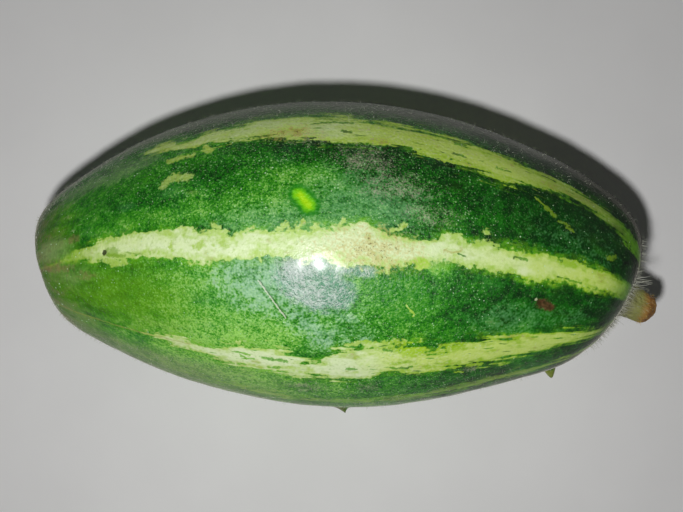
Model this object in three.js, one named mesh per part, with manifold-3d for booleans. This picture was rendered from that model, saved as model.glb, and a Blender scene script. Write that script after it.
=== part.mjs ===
// A pointed gourd as picked, with the short stub of its stalk, lying on its side.
// Millimetres, +Z up. The stalk is towards +X and the blossom scar towards -X. The origin is
// the middle of the small flat that the fruit lies on.
import * as THREE from "three";
import { mergeVertices } from "three/addons/utils/BufferGeometryUtils.js";
import Module from "manifold-3d";

// Driving dimensions of the fruit
const HALF_LENGTH = 37.8; // along the axis, from the fullest ring to either pole
const GIRTH_RADIUS = 20.1; // at the fullest ring
const BELLY_FLAT_DEPTH = 0.4; // how much the round belly is flattened where it lies
const RING_LEAN = 0.12; // radians that the fullest ring leans back from square, seen from above

// How each end closes. The radius loses the share called taper by the pole, and the cap then
// rounds it off: the higher capPower, the blunter the end. drop is how far the pole lies to the
// -Y side of the fullest ring, and lean is how far the end's rings turn, in radians.
const BLOSSOM_END = {
  taper: 0.64, taperPower: 2.07, capPower: 26, capRoot: 0.18,
  drop: 1.95, dropPower: 1.55, lean: 0.14, leanPower: 1.2,
};
const STALK_END = {
  taper: 0.515, taperPower: 1.8, capPower: 21, capRoot: 0.5,
  drop: 5.65, dropPower: 2.1, lean: -0.6, leanPower: 1.1,
};

// Driving dimensions of the stalk stub
const STALK_RADIUS = 1.95; // of its neck
const STALK_FLARE = 0.8; // added to the radius where it joins the fruit
const FLARE_LENGTH = 1.2; // distance over which that flare fades
const STALK_LENGTH = 4.6; // from the pole to the middle of the cut
const STALK_ROOT = 3; // length behind the pole that the fruit's shape is cut from
const STALK_HEADING = -0.48; // radians, seen from above
const CUT_SLANT = 0.09; // radians that the cut leans from square, towards -Y
const CUT_DOME = 1.15; // how far the cut's middle stands out past its rim
const DOME_POWER = 2.5; // the higher, the flatter the middle of the dome
const DOME_SHARES = [0.97, 0.88, 0.72, 0.5, 0.25]; // of the rim's radius, ring by ring
const STALK_RIBS = 5;
const RIB_HEIGHT = 0.06; // share of the radius
const SEAT_GAP = 0.3; // between the stalk's foot and the skin

const FRUIT_RINGS = 52;
const FRUIT_SEGMENTS = 56;
const STALK_RINGS = 12;
const STALK_SEGMENTS = 40;

const wasm = await Module();
wasm.setup();

// A closed geometry as a manifold-3d solid.
function solidOf(geometry) {
  const bare = geometry.clone();
  bare.deleteAttribute("normal");
  bare.deleteAttribute("uv");
  const merged = mergeVertices(bare, 1e-4);
  return new wasm.Manifold(
    new wasm.Mesh({
      numProp: 3,
      vertProperties: merged.attributes.position.array,
      triVerts: new Uint32Array(merged.index.array),
    }),
  );
}

// A manifold-3d solid as a geometry that three.js can draw.
function geometryOf(solid) {
  const mesh = solid.getMesh();
  const geometry = new THREE.BufferGeometry();
  geometry.setAttribute("position", new THREE.BufferAttribute(mesh.vertProperties, 3));
  geometry.setIndex(new THREE.BufferAttribute(mesh.triVerts, 1));
  geometry.computeVertexNormals();
  return geometry;
}

// Passes every vertex of a geometry through place, which moves it.
function reshape(geometry, place) {
  const position = geometry.attributes.position;
  const vertex = new THREE.Vector3();
  for (let i = 0; i < position.count; i++) {
    place(vertex.fromBufferAttribute(position, i));
    position.setXYZ(i, vertex.x, vertex.y, vertex.z);
  }
  return geometry;
}

// u runs from -1 at the blossom pole through 0 at the fullest ring to 1 at the stalk pole.
const endAt = (u) => (u < 0 ? BLOSSOM_END : STALK_END);

function skinRadius(u) {
  const { taper, taperPower, capPower, capRoot } = endAt(u);
  const share = Math.abs(u);
  return GIRTH_RADIUS * (1 - taper * share ** taperPower) * (1 - share ** capPower) ** capRoot;
}

function axisPoint(u) {
  const { drop, dropPower } = endAt(u);
  const height = GIRTH_RADIUS - BELLY_FLAT_DEPTH;
  return new THREE.Vector3(HALF_LENGTH * u, -drop * Math.abs(u) ** dropPower, height);
}

function ringLean(u) {
  const { lean, leanPower } = endAt(u);
  return RING_LEAN + lean * Math.abs(u) ** leanPower;
}

// The fruit before it is flattened: a turned dome whose rings are then set along the bowed axis,
// each with its own lean. LatheGeometry turns about Y, and its y holds u.
function fruitGeometry() {
  const profile = [new THREE.Vector2(0, -1)];
  for (let ring = 1; ring < FRUIT_RINGS; ring++) {
    const u = -Math.cos((Math.PI * ring) / FRUIT_RINGS);
    profile.push(new THREE.Vector2(skinRadius(u), u));
  }
  profile.push(new THREE.Vector2(0, 1));
  return reshape(new THREE.LatheGeometry(profile, FRUIT_SEGMENTS), (vertex) => {
    const centre = axisPoint(vertex.y);
    const lean = ringLean(vertex.y);
    const across = vertex.z;
    const upward = vertex.x;
    vertex.x = centre.x - across * Math.sin(lean);
    vertex.y = centre.y + across * Math.cos(lean);
    vertex.z = centre.z + upward;
  });
}

// The stub before it is seated, standing along +Y: ribbed, flared at its root, with a slanted
// cut that has dried to a low dome.
function stalkGeometry() {
  const profile = [new THREE.Vector2(0, -STALK_ROOT)];
  const rimHeight = STALK_LENGTH - CUT_DOME;
  for (let ring = 0; ring <= STALK_RINGS; ring++) {
    const along = THREE.MathUtils.lerp(-STALK_ROOT, rimHeight, ring / STALK_RINGS);
    const flare = STALK_FLARE * Math.exp(-Math.max(0, along) / FLARE_LENGTH);
    profile.push(new THREE.Vector2(STALK_RADIUS + flare, along));
  }
  const rimRadius = profile.at(-1).x;
  for (const share of DOME_SHARES) {
    const height = rimHeight + CUT_DOME * (1 - share ** DOME_POWER);
    profile.push(new THREE.Vector2(rimRadius * share, height));
  }
  profile.push(new THREE.Vector2(0, STALK_LENGTH));
  return reshape(new THREE.LatheGeometry(profile, STALK_SEGMENTS), (vertex) => {
    const rib = 1 + RIB_HEIGHT * Math.cos(STALK_RIBS * Math.atan2(vertex.z, vertex.x));
    vertex.x *= rib;
    vertex.z *= rib;
    const cutShare = THREE.MathUtils.smoothstep(vertex.y, 0, STALK_LENGTH);
    vertex.y -= cutShare * vertex.x * Math.tan(CUT_SLANT);
  });
}

function makeFruit() {
  const ground = new THREE.BoxGeometry(4 * HALF_LENGTH, 4 * GIRTH_RADIUS, GIRTH_RADIUS);
  ground.translate(0, 0, -GIRTH_RADIUS / 2);
  const fruit = new THREE.Mesh(
    geometryOf(solidOf(fruitGeometry()).subtract(solidOf(ground))),
    new THREE.MeshStandardMaterial({ color: 0x2f6f22, roughness: 0.45, metalness: 0 }),
  );
  fruit.name = "fruit";
  return fruit;
}

function makeStalk() {
  const pole = axisPoint(1);
  const standing = stalkGeometry()
    .rotateZ(STALK_HEADING - Math.PI / 2)
    .translate(pole.x, pole.y, pole.z);
  const seat = fruitGeometry().translate(
    SEAT_GAP * Math.cos(STALK_HEADING), SEAT_GAP * Math.sin(STALK_HEADING), 0,
  );
  const stalk = new THREE.Mesh(
    geometryOf(solidOf(standing).subtract(solidOf(seat))),
    new THREE.MeshStandardMaterial({ color: 0x8a7b3c, roughness: 0.75, metalness: 0 }),
  );
  stalk.name = "stalk";
  return stalk;
}

const gourd = new THREE.Group();
gourd.add(makeFruit(), makeStalk());

export default gourd;
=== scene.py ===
# %% [markdown]
# # A pointed gourd, just as picked
#
# The object is a plump green gourd, 79 mm long and 40 mm thick, lying on its side with a short
# stub of stalk. Pale stripes run from end to end over a mottled skin with a dusty bloom.
#
# A solid model of it is already packed. It is the frame in which everything here is built:
# metres, +X along the fruit towards its stalk, +Z up, and the table at Z = 0.

# %% Load the frame
import functools
import math
import random

import bmesh
import bpy
from mathutils import Matrix, Vector


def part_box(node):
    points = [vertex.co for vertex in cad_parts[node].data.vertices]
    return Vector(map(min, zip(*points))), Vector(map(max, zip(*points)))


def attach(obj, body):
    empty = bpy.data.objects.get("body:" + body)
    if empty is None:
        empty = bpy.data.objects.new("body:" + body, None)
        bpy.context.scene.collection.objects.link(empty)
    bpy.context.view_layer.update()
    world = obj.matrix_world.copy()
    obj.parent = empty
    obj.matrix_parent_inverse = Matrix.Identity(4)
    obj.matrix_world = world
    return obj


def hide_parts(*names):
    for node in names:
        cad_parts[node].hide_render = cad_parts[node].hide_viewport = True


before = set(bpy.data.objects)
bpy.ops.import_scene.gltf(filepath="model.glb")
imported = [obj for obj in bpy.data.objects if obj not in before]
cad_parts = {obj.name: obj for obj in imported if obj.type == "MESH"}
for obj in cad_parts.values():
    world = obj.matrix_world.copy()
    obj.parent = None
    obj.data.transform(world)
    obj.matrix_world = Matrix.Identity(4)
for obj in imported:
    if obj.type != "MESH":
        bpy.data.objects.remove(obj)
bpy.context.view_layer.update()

MM = 0.001
fruit_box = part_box("fruit")
print("solid fruit, mm:", [round(side / MM, 1) for side in fruit_box[1] - fruit_box[0]])

# %% [markdown]
# ## The shape in numbers
#
# The fruit is a row of rings strung on a gently bowed axis. `u` runs from -1 at the blossom end to
# 1 at the stalk end. Each end has its own taper, a cap that rounds it off, a drop to the -Y side,
# and a lean that turns its rings. The solid was made from the same few numbers, so the visible
# skin will lie where the solid is.

# %% Numbers of the fruit
HALF_LENGTH = 37.8 * MM
GIRTH_RADIUS = 20.1 * MM
AXIS_HEIGHT = fruit_box[1].z - GIRTH_RADIUS
RING_LEAN = 0.12
BLOSSOM_END = {
    "taper": 0.64, "taper_power": 2.07, "cap_power": 26, "cap_root": 0.18,
    "drop": 1.95 * MM, "drop_power": 1.55, "lean": 0.14, "lean_power": 1.2,
}
STALK_END = {
    "taper": 0.515, "taper_power": 1.8, "cap_power": 21, "cap_root": 0.5,
    "drop": 5.65 * MM, "drop_power": 2.1, "lean": -0.6, "lean_power": 1.1,
}


def end_at(u):
    return BLOSSOM_END if u < 0 else STALK_END


def skin_radius(u):
    """Radius of the ring at u."""
    end, share = end_at(u), abs(u)
    cap = (1 - share ** end["cap_power"]) ** end["cap_root"]
    return GIRTH_RADIUS * (1 - end["taper"] * share ** end["taper_power"]) * cap


def axis_point(u):
    """Centre of the ring at u."""
    end = end_at(u)
    return Vector((HALF_LENGTH * u, -end["drop"] * abs(u) ** end["drop_power"], AXIS_HEIGHT))


def ring_lean(u):
    """How far the ring at u turns about Z, in radians."""
    end = end_at(u)
    return RING_LEAN + end["lean"] * abs(u) ** end["lean_power"]


# %% [markdown]
# To talk about places on the skin we use two numbers, as on a globe. `along` goes from 0 at the
# blossom end to 1 at the stalk, and `turn` is the angle from the top of the fruit towards +Y, in
# degrees. A sphere's own UV map holds just these two, so the shader will read the same numbers.

# %% Places on the skin
def skin_point(along, turn):
    """The point on the smooth skin at a place."""
    u = -math.cos(math.pi * along)
    lean, angle, radius = ring_lean(u), math.radians(turn), skin_radius(u)
    across = radius * math.sin(angle)
    offset = Vector((-across * math.sin(lean), across * math.cos(lean), radius * math.cos(angle)))
    return axis_point(u) + offset


def skin_normal(along, turn):
    """The outward direction there, from two short steps on the skin."""
    lengthwise = skin_point(along + 0.002, turn) - skin_point(along - 0.002, turn)
    sideways = skin_point(along, turn + 0.5) - skin_point(along, turn - 0.5)
    return lengthwise.cross(sideways).normalized()


print("top of the fruit:", skin_point(0.5, 0) / MM, "faces", skin_normal(0.5, 0))

# %% [markdown]
# ## Working as by hand
#
# Blender's operators act on whatever is selected, so every step starts by selecting exactly what
# it needs. With no window open, a rotation goes the other way round and needs to be told its
# centre; `turn_selection` hides both quirks.

# %% Selecting, turning and pulling
def deselect_all():
    bpy.ops.object.select_all(action="DESELECT")


def activate(piece):
    """Makes piece the only selected object, and the active one."""
    deselect_all()
    piece.select_set(True)
    bpy.context.view_layer.objects.active = piece


def select_vertices(piece, chosen):
    """In edit mode, selects just the vertices for which chosen(vertex) is true."""
    mesh = bmesh.from_edit_mesh(piece.data)
    for vertex in mesh.verts:
        vertex.select = chosen(vertex)
    mesh.select_flush_mode()
    bmesh.update_edit_mesh(piece.data)


def turn_selection(radians, axis, centre):
    bpy.ops.transform.rotate(value=-radians, orient_axis=axis, center_override=centre)


def scale_selection(x, y, z, centre=(0, 0, 0)):
    bpy.ops.transform.resize(value=(x, y, z), center_override=centre)


def apply_modifier(kind, **settings):
    """Adds a modifier to the active object, sets it and applies it."""
    bpy.ops.object.modifier_add(type=kind)
    modifier = bpy.context.object.modifiers[-1]
    for name, value in settings.items():
        setattr(modifier, name, value)
    bpy.ops.object.modifier_apply(modifier=modifier.name)


def count_triangles(piece):
    return sum(len(face.vertices) - 2 for face in piece.data.polygons)


# %% [markdown]
# ## The fruit's skin
#
# A fruit has no edges to extrude from. A lattice or a few sculpt strokes could give its shape, but
# to keep exactly to the solid we start with a UV sphere whose poles lie along X, and shape it ring
# by ring.

# %% Add the sphere
RINGS = 72
SEGMENTS = 72

deselect_all()
bpy.ops.mesh.primitive_uv_sphere_add(
    segments=SEGMENTS,
    ring_count=RINGS,
    radius=HALF_LENGTH,
    location=(0, 0, AXIS_HEIGHT),
    rotation=(0, math.pi / 2, 0),
)
fruit = bpy.context.object
fruit.name = "fruit_skin"
bpy.ops.object.transform_apply()

rings = [set() for _ in range(RINGS + 1)]
for vertex in fruit.data.vertices:
    polar = math.acos(max(-1, min(1, -vertex.co.x / HALF_LENGTH)))
    rings[round(polar * RINGS / math.pi)].add(vertex.index)
print("rings:", len(rings), "vertices in the widest:", len(rings[RINGS // 2]))

# %% [markdown]
# Each ring of vertices is selected, scaled to its radius, leaned and slid to its place on the
# bowed axis. A profile spun round an axis would be quicker, but spinning gives only a straight
# fruit.

# %% Shape it ring by ring
bpy.ops.object.mode_set(mode="EDIT")
for number, ring in enumerate(rings):
    polar = math.pi * number / RINGS
    u = -math.cos(polar)
    centre = Vector((HALF_LENGTH * u, 0, AXIS_HEIGHT))
    select_vertices(fruit, lambda vertex: vertex.index in ring)
    if 0 < number < RINGS:
        fullness = skin_radius(u) / (HALF_LENGTH * math.sin(polar))
        scale_selection(1, fullness, fullness, centre)
        turn_selection(ring_lean(u), "Z", centre)
    bpy.ops.transform.translate(value=axis_point(u) - centre)
bpy.ops.object.mode_set(mode="OBJECT")

# %% [markdown]
# A real skin is never quite even: it swells slowly by a few tenths of a millimetre, and is finely
# dimpled. Noise in the shader's bump would leave the outline smooth, so a Displace modifier pushes
# the vertices themselves along their normals. Its middle value is set high, so that it mostly
# pushes inwards and the fruit keeps its measured size.

# %% Refine and make uneven
activate(fruit)
apply_modifier("SUBSURF", levels=2, render_levels=2)


def make_uneven(name, cloud_size, depth, inward):
    clouds = bpy.data.textures.new(name, type="CLOUDS")
    clouds.noise_scale = cloud_size
    clouds.noise_depth = 1
    apply_modifier(
        "DISPLACE", texture=clouds, texture_coords="LOCAL", strength=depth, mid_level=inward
    )


make_uneven("slow_swell", cloud_size=14 * MM, depth=0.3 * MM, inward=0.52)
make_uneven("dimpling", cloud_size=2.4 * MM, depth=0.1 * MM, inward=0.55)
print("skin triangles:", count_triangles(fruit))

# %% [markdown]
# The stalk's pit and the blossom scar are pressed in, and a thorn and a wart are pulled out of the
# skin. Sculpting could do it too, but with proportional editing each form has its exact place,
# height and reach: one vertex is grabbed and its neighbours follow.

# %% Pull and press small forms
def pull(along, turn, height, reach, falloff="SMOOTH", sideways=Vector()):
    """Moves the skin at a place by height along its normal, and its neighbours within reach."""
    spot = skin_point(along, turn)
    vertices = bmesh.from_edit_mesh(fruit.data).verts
    nearest = min(vertices, key=lambda vertex: (vertex.co - spot).length_squared).index
    select_vertices(fruit, lambda vertex: vertex.index == nearest)
    bpy.ops.transform.translate(
        value=skin_normal(along, turn) * height + sideways,
        use_proportional_edit=True,
        proportional_edit_falloff=falloff,
        proportional_size=reach,
    )


bpy.ops.object.mode_set(mode="EDIT")
pull(0.999, 0, -0.35 * MM, reach=4 * MM)  # the skin sinks a little where the stalk joins
pull(0.001, 0, -0.5 * MM, reach=2.6 * MM)  # and at the blossom scar
for step in (-1, 0, 1):  # a slanting nick, where the skin is grazed away
    pull(0.4775 + 0.003 * step, 18.1 - 2 * step, -0.1 * MM, reach=1.2 * MM)
pull(0.735, -14, -0.1 * MM, reach=1.1 * MM)  # a sunken brown scar
pull(0.243, 5.8, -0.22 * MM, reach=0.5 * MM)  # an insect's pinprick
pull(0.451, -4.4, 0.1 * MM, reach=0.6 * MM)  # a crusty speck beside the gloss
pull(0.482, -1.4, 0.07 * MM, reach=3.4 * MM)  # two faint swells under the gloss
pull(0.459, -2, 0.05 * MM, reach=1.6 * MM)
thorn_lean = Vector((0.45, 0, 0)) * MM
pull(0.485, -84, 0.8 * MM, reach=1.3 * MM, falloff="SHARP", sideways=thorn_lean)
wart_lean = Vector((-0.3, 0, 0)) * MM
pull(0.837, -99, 1.9 * MM, reach=1.3 * MM, sideways=wart_lean)

# The belly rests on the table: whatever reaches below it is pressed flat.
select_vertices(fruit, lambda vertex: vertex.co.z < 0)
scale_selection(1, 1, 0)
bpy.ops.object.mode_set(mode="OBJECT")
bpy.ops.object.shade_smooth()
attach(fruit, "root")
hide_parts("fruit")
heights = [vertex.co.z for vertex in fruit.data.vertices]
print("skin from", min(heights) / MM, "to", max(heights) / MM, "mm high")

# %% [markdown]
# ## The stalk stub
#
# What is left of the stalk is a short, five-ribbed stub, flared where it joins the fruit. It was
# torn off, and the wound has dried to a low brown dome with a ragged rim. A cylinder would have to
# be cut up first, so we draw the stub as a potter would: a circle is extruded up step by step,
# widened or narrowed at each, and closed over the dome.

# %% Numbers of the stalk
STALK_HEADING = -0.48  # radians, seen from above
FOOT_HEIGHT = -1.0 * MM  # sunk into the fruit
RIM_HEIGHT = 3.45 * MM
DOME = 1.15 * MM
DOME_POWER = 2.5
CUT_SLANT = 0.09
RIBS = 5
SIDES_PER_RIB = 4
RIB_HEIGHT = 0.07


def wall_radius(height):
    return 1.93 * MM + 0.8 * MM * math.exp(-max(0, height) / (1.2 * MM))


WALL = [RIM_HEIGHT * step / 7 for step in range(8)]
profile = [(height, wall_radius(height)) for height in WALL]
for share in (0.95, 0.82, 0.6, 0.35, 0.12):
    profile.append((RIM_HEIGHT + DOME * (1 - share**DOME_POWER), wall_radius(RIM_HEIGHT) * share))
print("steps up the stub:", len(profile), "to a height in mm of", profile[-1][0] / MM)

# %% Draw it up from its foot
def lay_foot(name, sides, radius, height):
    """A filled circle facing down, all of it selected in edit mode, ready to be extruded up."""
    deselect_all()
    bpy.ops.mesh.primitive_circle_add(
        vertices=sides, radius=radius, fill_type="NGON", location=(0, 0, height)
    )
    foot = bpy.context.object
    foot.name = name
    bpy.ops.object.transform_apply()
    bpy.ops.object.mode_set(mode="EDIT")
    bpy.ops.mesh.select_all(action="SELECT")
    bpy.ops.mesh.flip_normals()
    return foot


height, radius = FOOT_HEIGHT, wall_radius(0)
stalk = lay_foot("stalk_stub", RIBS * SIDES_PER_RIB, radius, height)
for next_height, next_radius in profile:
    rise, widening = next_height - height, next_radius / radius
    bpy.ops.mesh.extrude_region_move(TRANSFORM_OT_translate={"value": (0, 0, rise)})
    scale_selection(widening, widening, 1)
    height, radius = next_height, next_radius

# %% [markdown]
# The ribs could be drawn in the circle from the start. Made at the end, they take two scalings:
# the vertices on the ridges are moved outwards and those in the furrows inwards. Then the dome is
# tilted, as no stalk tears off straight, and its vertices are shaken a little.

# %% Rib it, slant the cut and crumple its rim
SIDE_ANGLE = math.tau / (RIBS * SIDES_PER_RIB)


def on_side(vertex, side):
    """True where the vertex stands on the given side of its rib, counted from the ridge."""
    number = round(math.atan2(vertex.co.y, vertex.co.x) / SIDE_ANGLE)
    return number % SIDES_PER_RIB == side


for side, width in ((0, 1 + RIB_HEIGHT), (2, 1 - RIB_HEIGHT)):  # the ridges, then the furrows
    select_vertices(stalk, lambda vertex: on_side(vertex, side))
    scale_selection(width, width, 1)
select_vertices(stalk, lambda vertex: vertex.co.z > 0.8 * RIM_HEIGHT)
turn_selection(-CUT_SLANT, "X", (0, 0, RIM_HEIGHT))
select_vertices(stalk, lambda vertex: vertex.co.z > 0.95 * RIM_HEIGHT)
bpy.ops.transform.vertex_random(offset=0.13 * MM, seed=4)
bpy.ops.object.mode_set(mode="OBJECT")
activate(stalk)
apply_modifier("SUBSURF", levels=3, render_levels=3)
make_uneven("stalk_knobs", cloud_size=0.7 * MM, depth=0.2 * MM, inward=0.5)

# %% [markdown]
# The stub was drawn upright at the origin, where its heights are easy to read. Now its place is
# worked out once, as a matrix, because its hairs and its colour will need the same place.

# %% Lay it in its place
ahead = Vector((math.cos(STALK_HEADING), math.sin(STALK_HEADING), 0))
down = Vector((0, 0, -1))
beside = down.cross(ahead)
turned = Matrix((beside, down, ahead)).transposed().to_4x4()
stalk_place = Matrix.Translation(skin_point(1, 0)) @ turned
stalk.matrix_world = stalk_place
bpy.ops.object.transform_apply()
bpy.ops.object.shade_smooth()
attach(stalk, "root")
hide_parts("stalk")
print("stalk triangles:", count_triangles(stalk))

# %% [markdown]
# ## Hairs
#
# White hairs stand thickly where the stalk joins, some of them long and combed over the stub, and
# a much shorter down covers the flanks. A particle system would be quicker to set up, but its
# hairs aren't meshes. So one hair is modelled, a three-sided spine that is extruded in steps which
# shrink and lean over.

# %% Model one hair
HAIR_STEPS = 3

hair = lay_foot("hair", 3, 0.5 * MM, 0)
for step in range(HAIR_STEPS):
    rise = (1.5 * step * MM, 0, MM / HAIR_STEPS)
    bpy.ops.mesh.extrude_region_move(TRANSFORM_OT_translate={"value": rise})
    bpy.ops.transform.resize(value=(0.7, 0.7, 1))
bpy.ops.object.mode_set(mode="OBJECT")
print("one hair, triangles:", count_triangles(hair))

# %% [markdown]
# All other hairs are copies of that one, each with its own place, direction, length and spin. They
# come from one seeded row of random numbers, so that the same hairs grow every time.

# %% Plant one hair
HAIRY_TURN = 150  # degrees either way; none grow underneath, against the table
chance = random.Random(7)


def stray(amount):
    return Vector([chance.gauss(0, amount) for _ in range(3)])


def plant(root, direction, length, thickness):
    """A copy of the hair, so many mm long and thick, spun at random."""
    copy = hair.copy()
    copy.data = hair.data.copy()
    bpy.context.collection.objects.link(copy)
    facing = direction.to_track_quat("Z", "Y").to_matrix().to_4x4()
    spin = Matrix.Rotation(chance.uniform(0, math.tau), 4, "Z")
    size = Matrix.Diagonal((thickness, thickness, length, 1))
    copy.matrix_world = Matrix.Translation(root) @ facing @ spin @ size
    return copy


def plant_on_skin(lowest, highest, lengths, thickness, combed, bald=0):
    """A hair between two places along the fruit, combed towards the stalk by a share."""
    along = chance.uniform(lowest, highest)
    turn = chance.uniform(bald, HAIRY_TURN) * chance.choice((-1, 1))
    direction = skin_normal(along, turn) + combed * ahead + stray(0.3)
    return plant(skin_point(along, turn), direction, chance.uniform(*lengths), thickness)


def plant_on_stub(lowest, highest, lengths, thickness, combed):
    """A hair on the wall of the stub, between two heights in mm."""
    angle, height = chance.uniform(0, math.tau), chance.uniform(lowest, highest) * MM
    outward = Vector((math.cos(angle), math.sin(angle), 0))
    root = stalk_place @ (outward * (wall_radius(height) - 0.1 * MM) + Vector((0, 0, height)))
    direction = stalk_place.to_3x3() @ outward + combed * ahead + stray(0.3)
    return plant(root, direction, chance.uniform(*lengths), thickness)


def plant_tuft(number, middle, spread, lengths, thickness, direction):
    """Hairs around a place on the skin, all pointing roughly one way."""
    tuft = []
    for _ in range(number):
        root = skin_point(*[chance.gauss(*place) for place in zip(middle, spread)])
        length = chance.uniform(*lengths)
        tuft.append(plant(root, direction + stray(0.15), length, thickness))
    return tuft


print("hairs grow to", HAIRY_TURN, "degrees either side of the top")

# %% [markdown]
# The hairs at the stalk come in five kinds: a dense short fuzz on the shoulder, a few long ones
# combed over the stub, short ones on the stub itself, and a tuft on either side of it. Stiffer
# fibres stick out of the torn rim. The hairs of a piece are joined, so that it stays one object.

# %% Hairs at the stalk
def join_hairs(planted, name):
    """Makes one piece of the planted hairs."""
    deselect_all()
    for copy in planted:
        copy.select_set(True)
    bpy.context.view_layer.objects.active = planted[0]
    bpy.ops.object.join()
    piece = bpy.context.object
    piece.name = name
    bpy.ops.object.transform_apply()
    print(name, "hairs:", len(planted), "triangles:", count_triangles(piece))
    return piece


shoulder = [plant_on_skin(0.9, 0.995, (0.3, 0.9), 0.035, 0.5) for _ in range(900)]
combed_over = [plant_on_skin(0.965, 0.998, (1.2, 2), 0.07, 1.8) for _ in range(24)]
on_stub = [plant_on_stub(0.2, 3, (0.3, 0.8), 0.035, 0.6) for _ in range(130)]
beside_stub = plant_tuft(9, (0.945, 24), (0.006, 4), (1.5, 2.1), 0.1, Vector((1, 0, 0.1)))
out_and_ahead = Vector((0.8, -0.8, 0.1))
below_stub = plant_tuft(170, (0.95, -64), (0.012, 14), (0.3, 0.8), 0.045, out_and_ahead)
tufts = beside_stub + below_stub
stalk_hairs = join_hairs(shoulder + combed_over + on_stub + tufts, "stalk_hairs")
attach(stalk_hairs, "root")

fibres = [plant_on_stub(3.1, 3.5, (0.25, 0.6), 0.07, 0.9) for _ in range(60)]
cut_fibres = join_hairs(fibres, "cut_fibres")
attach(cut_fibres, "root")

# %% [markdown]
# Down is what dulls the outline of a real gourd. Sheen in the shader gives a little of that, but
# no hairs against the light. Straight from above down is too fine to see, so it is planted only on
# the flanks, and thinly near the stalk.

# %% Down on the skin
even_down = [plant_on_skin(0.02, 0.77, (0.15, 0.4), 0.034, 0.2, bald=48) for _ in range(3600)]
thin_down = [plant_on_skin(0.77, 0.96, (0.15, 0.4), 0.03, 0.2, bald=48) for _ in range(240)]
skin_down = join_hairs(even_down + thin_down, "skin_down")
bpy.data.objects.remove(hair)
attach(skin_down, "root")

# %% [markdown]
# ## Writing shaders as sums
#
# A pattern is easier to read as arithmetic than as a web of boxes. `Signal` wraps an output
# socket, so that `1 - mask * 0.5` adds the Math nodes it stands for.

# %% Signals
def operation(name, swapped=False):
    """A method that adds a Math node with the signal as its first or last input."""
    def add_node(self, *others):
        values = (*others, self) if swapped else (self, *others)
        return self.finish.node("Math", {"operation": name}, dict(enumerate(values)))
    return add_node


class Signal:
    """An output socket; arithmetic on it adds Math nodes."""

    def __init__(self, finish, socket):
        self.finish = finish
        self.socket = socket

    __add__ = operation("ADD")
    __radd__ = operation("ADD", swapped=True)
    __sub__ = operation("SUBTRACT")
    __rsub__ = operation("SUBTRACT", swapped=True)
    __mul__ = operation("MULTIPLY")
    __rmul__ = operation("MULTIPLY", swapped=True)
    __truediv__ = operation("DIVIDE")
    __abs__ = operation("ABSOLUTE")
    sine = operation("SINE")
    cosine = operation("COSINE")
    root = operation("SQRT")
    at_least = operation("MAXIMUM")
    at_most = operation("MINIMUM")
    wrapped = operation("WRAP")  # takes the high end of the range, then the low one

    def rise(self, low, high):
        """0 below low, 1 above high, and smooth between."""
        inputs = {"Value": self, "From Min": low, "From Max": high}
        return self.finish.node("MapRange", {"interpolation_type": "SMOOTHSTEP"}, inputs)

    def fall(self, low, high):
        """1 below low, 0 above high, and smooth between."""
        return 1 - self.rise(low, high)

    def over(self, share, red, green, blue):
        """This colour with a share of a paint laid over it."""
        return self.finish.mix(share, self, paint(red, green, blue))


# %% [markdown]
# `Finish` is the tree of nodes of one material, or of the world. Its method `node` adds any node,
# whose settings are made before its inputs. The other methods are short names for the few nodes
# that come back again and again.

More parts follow.
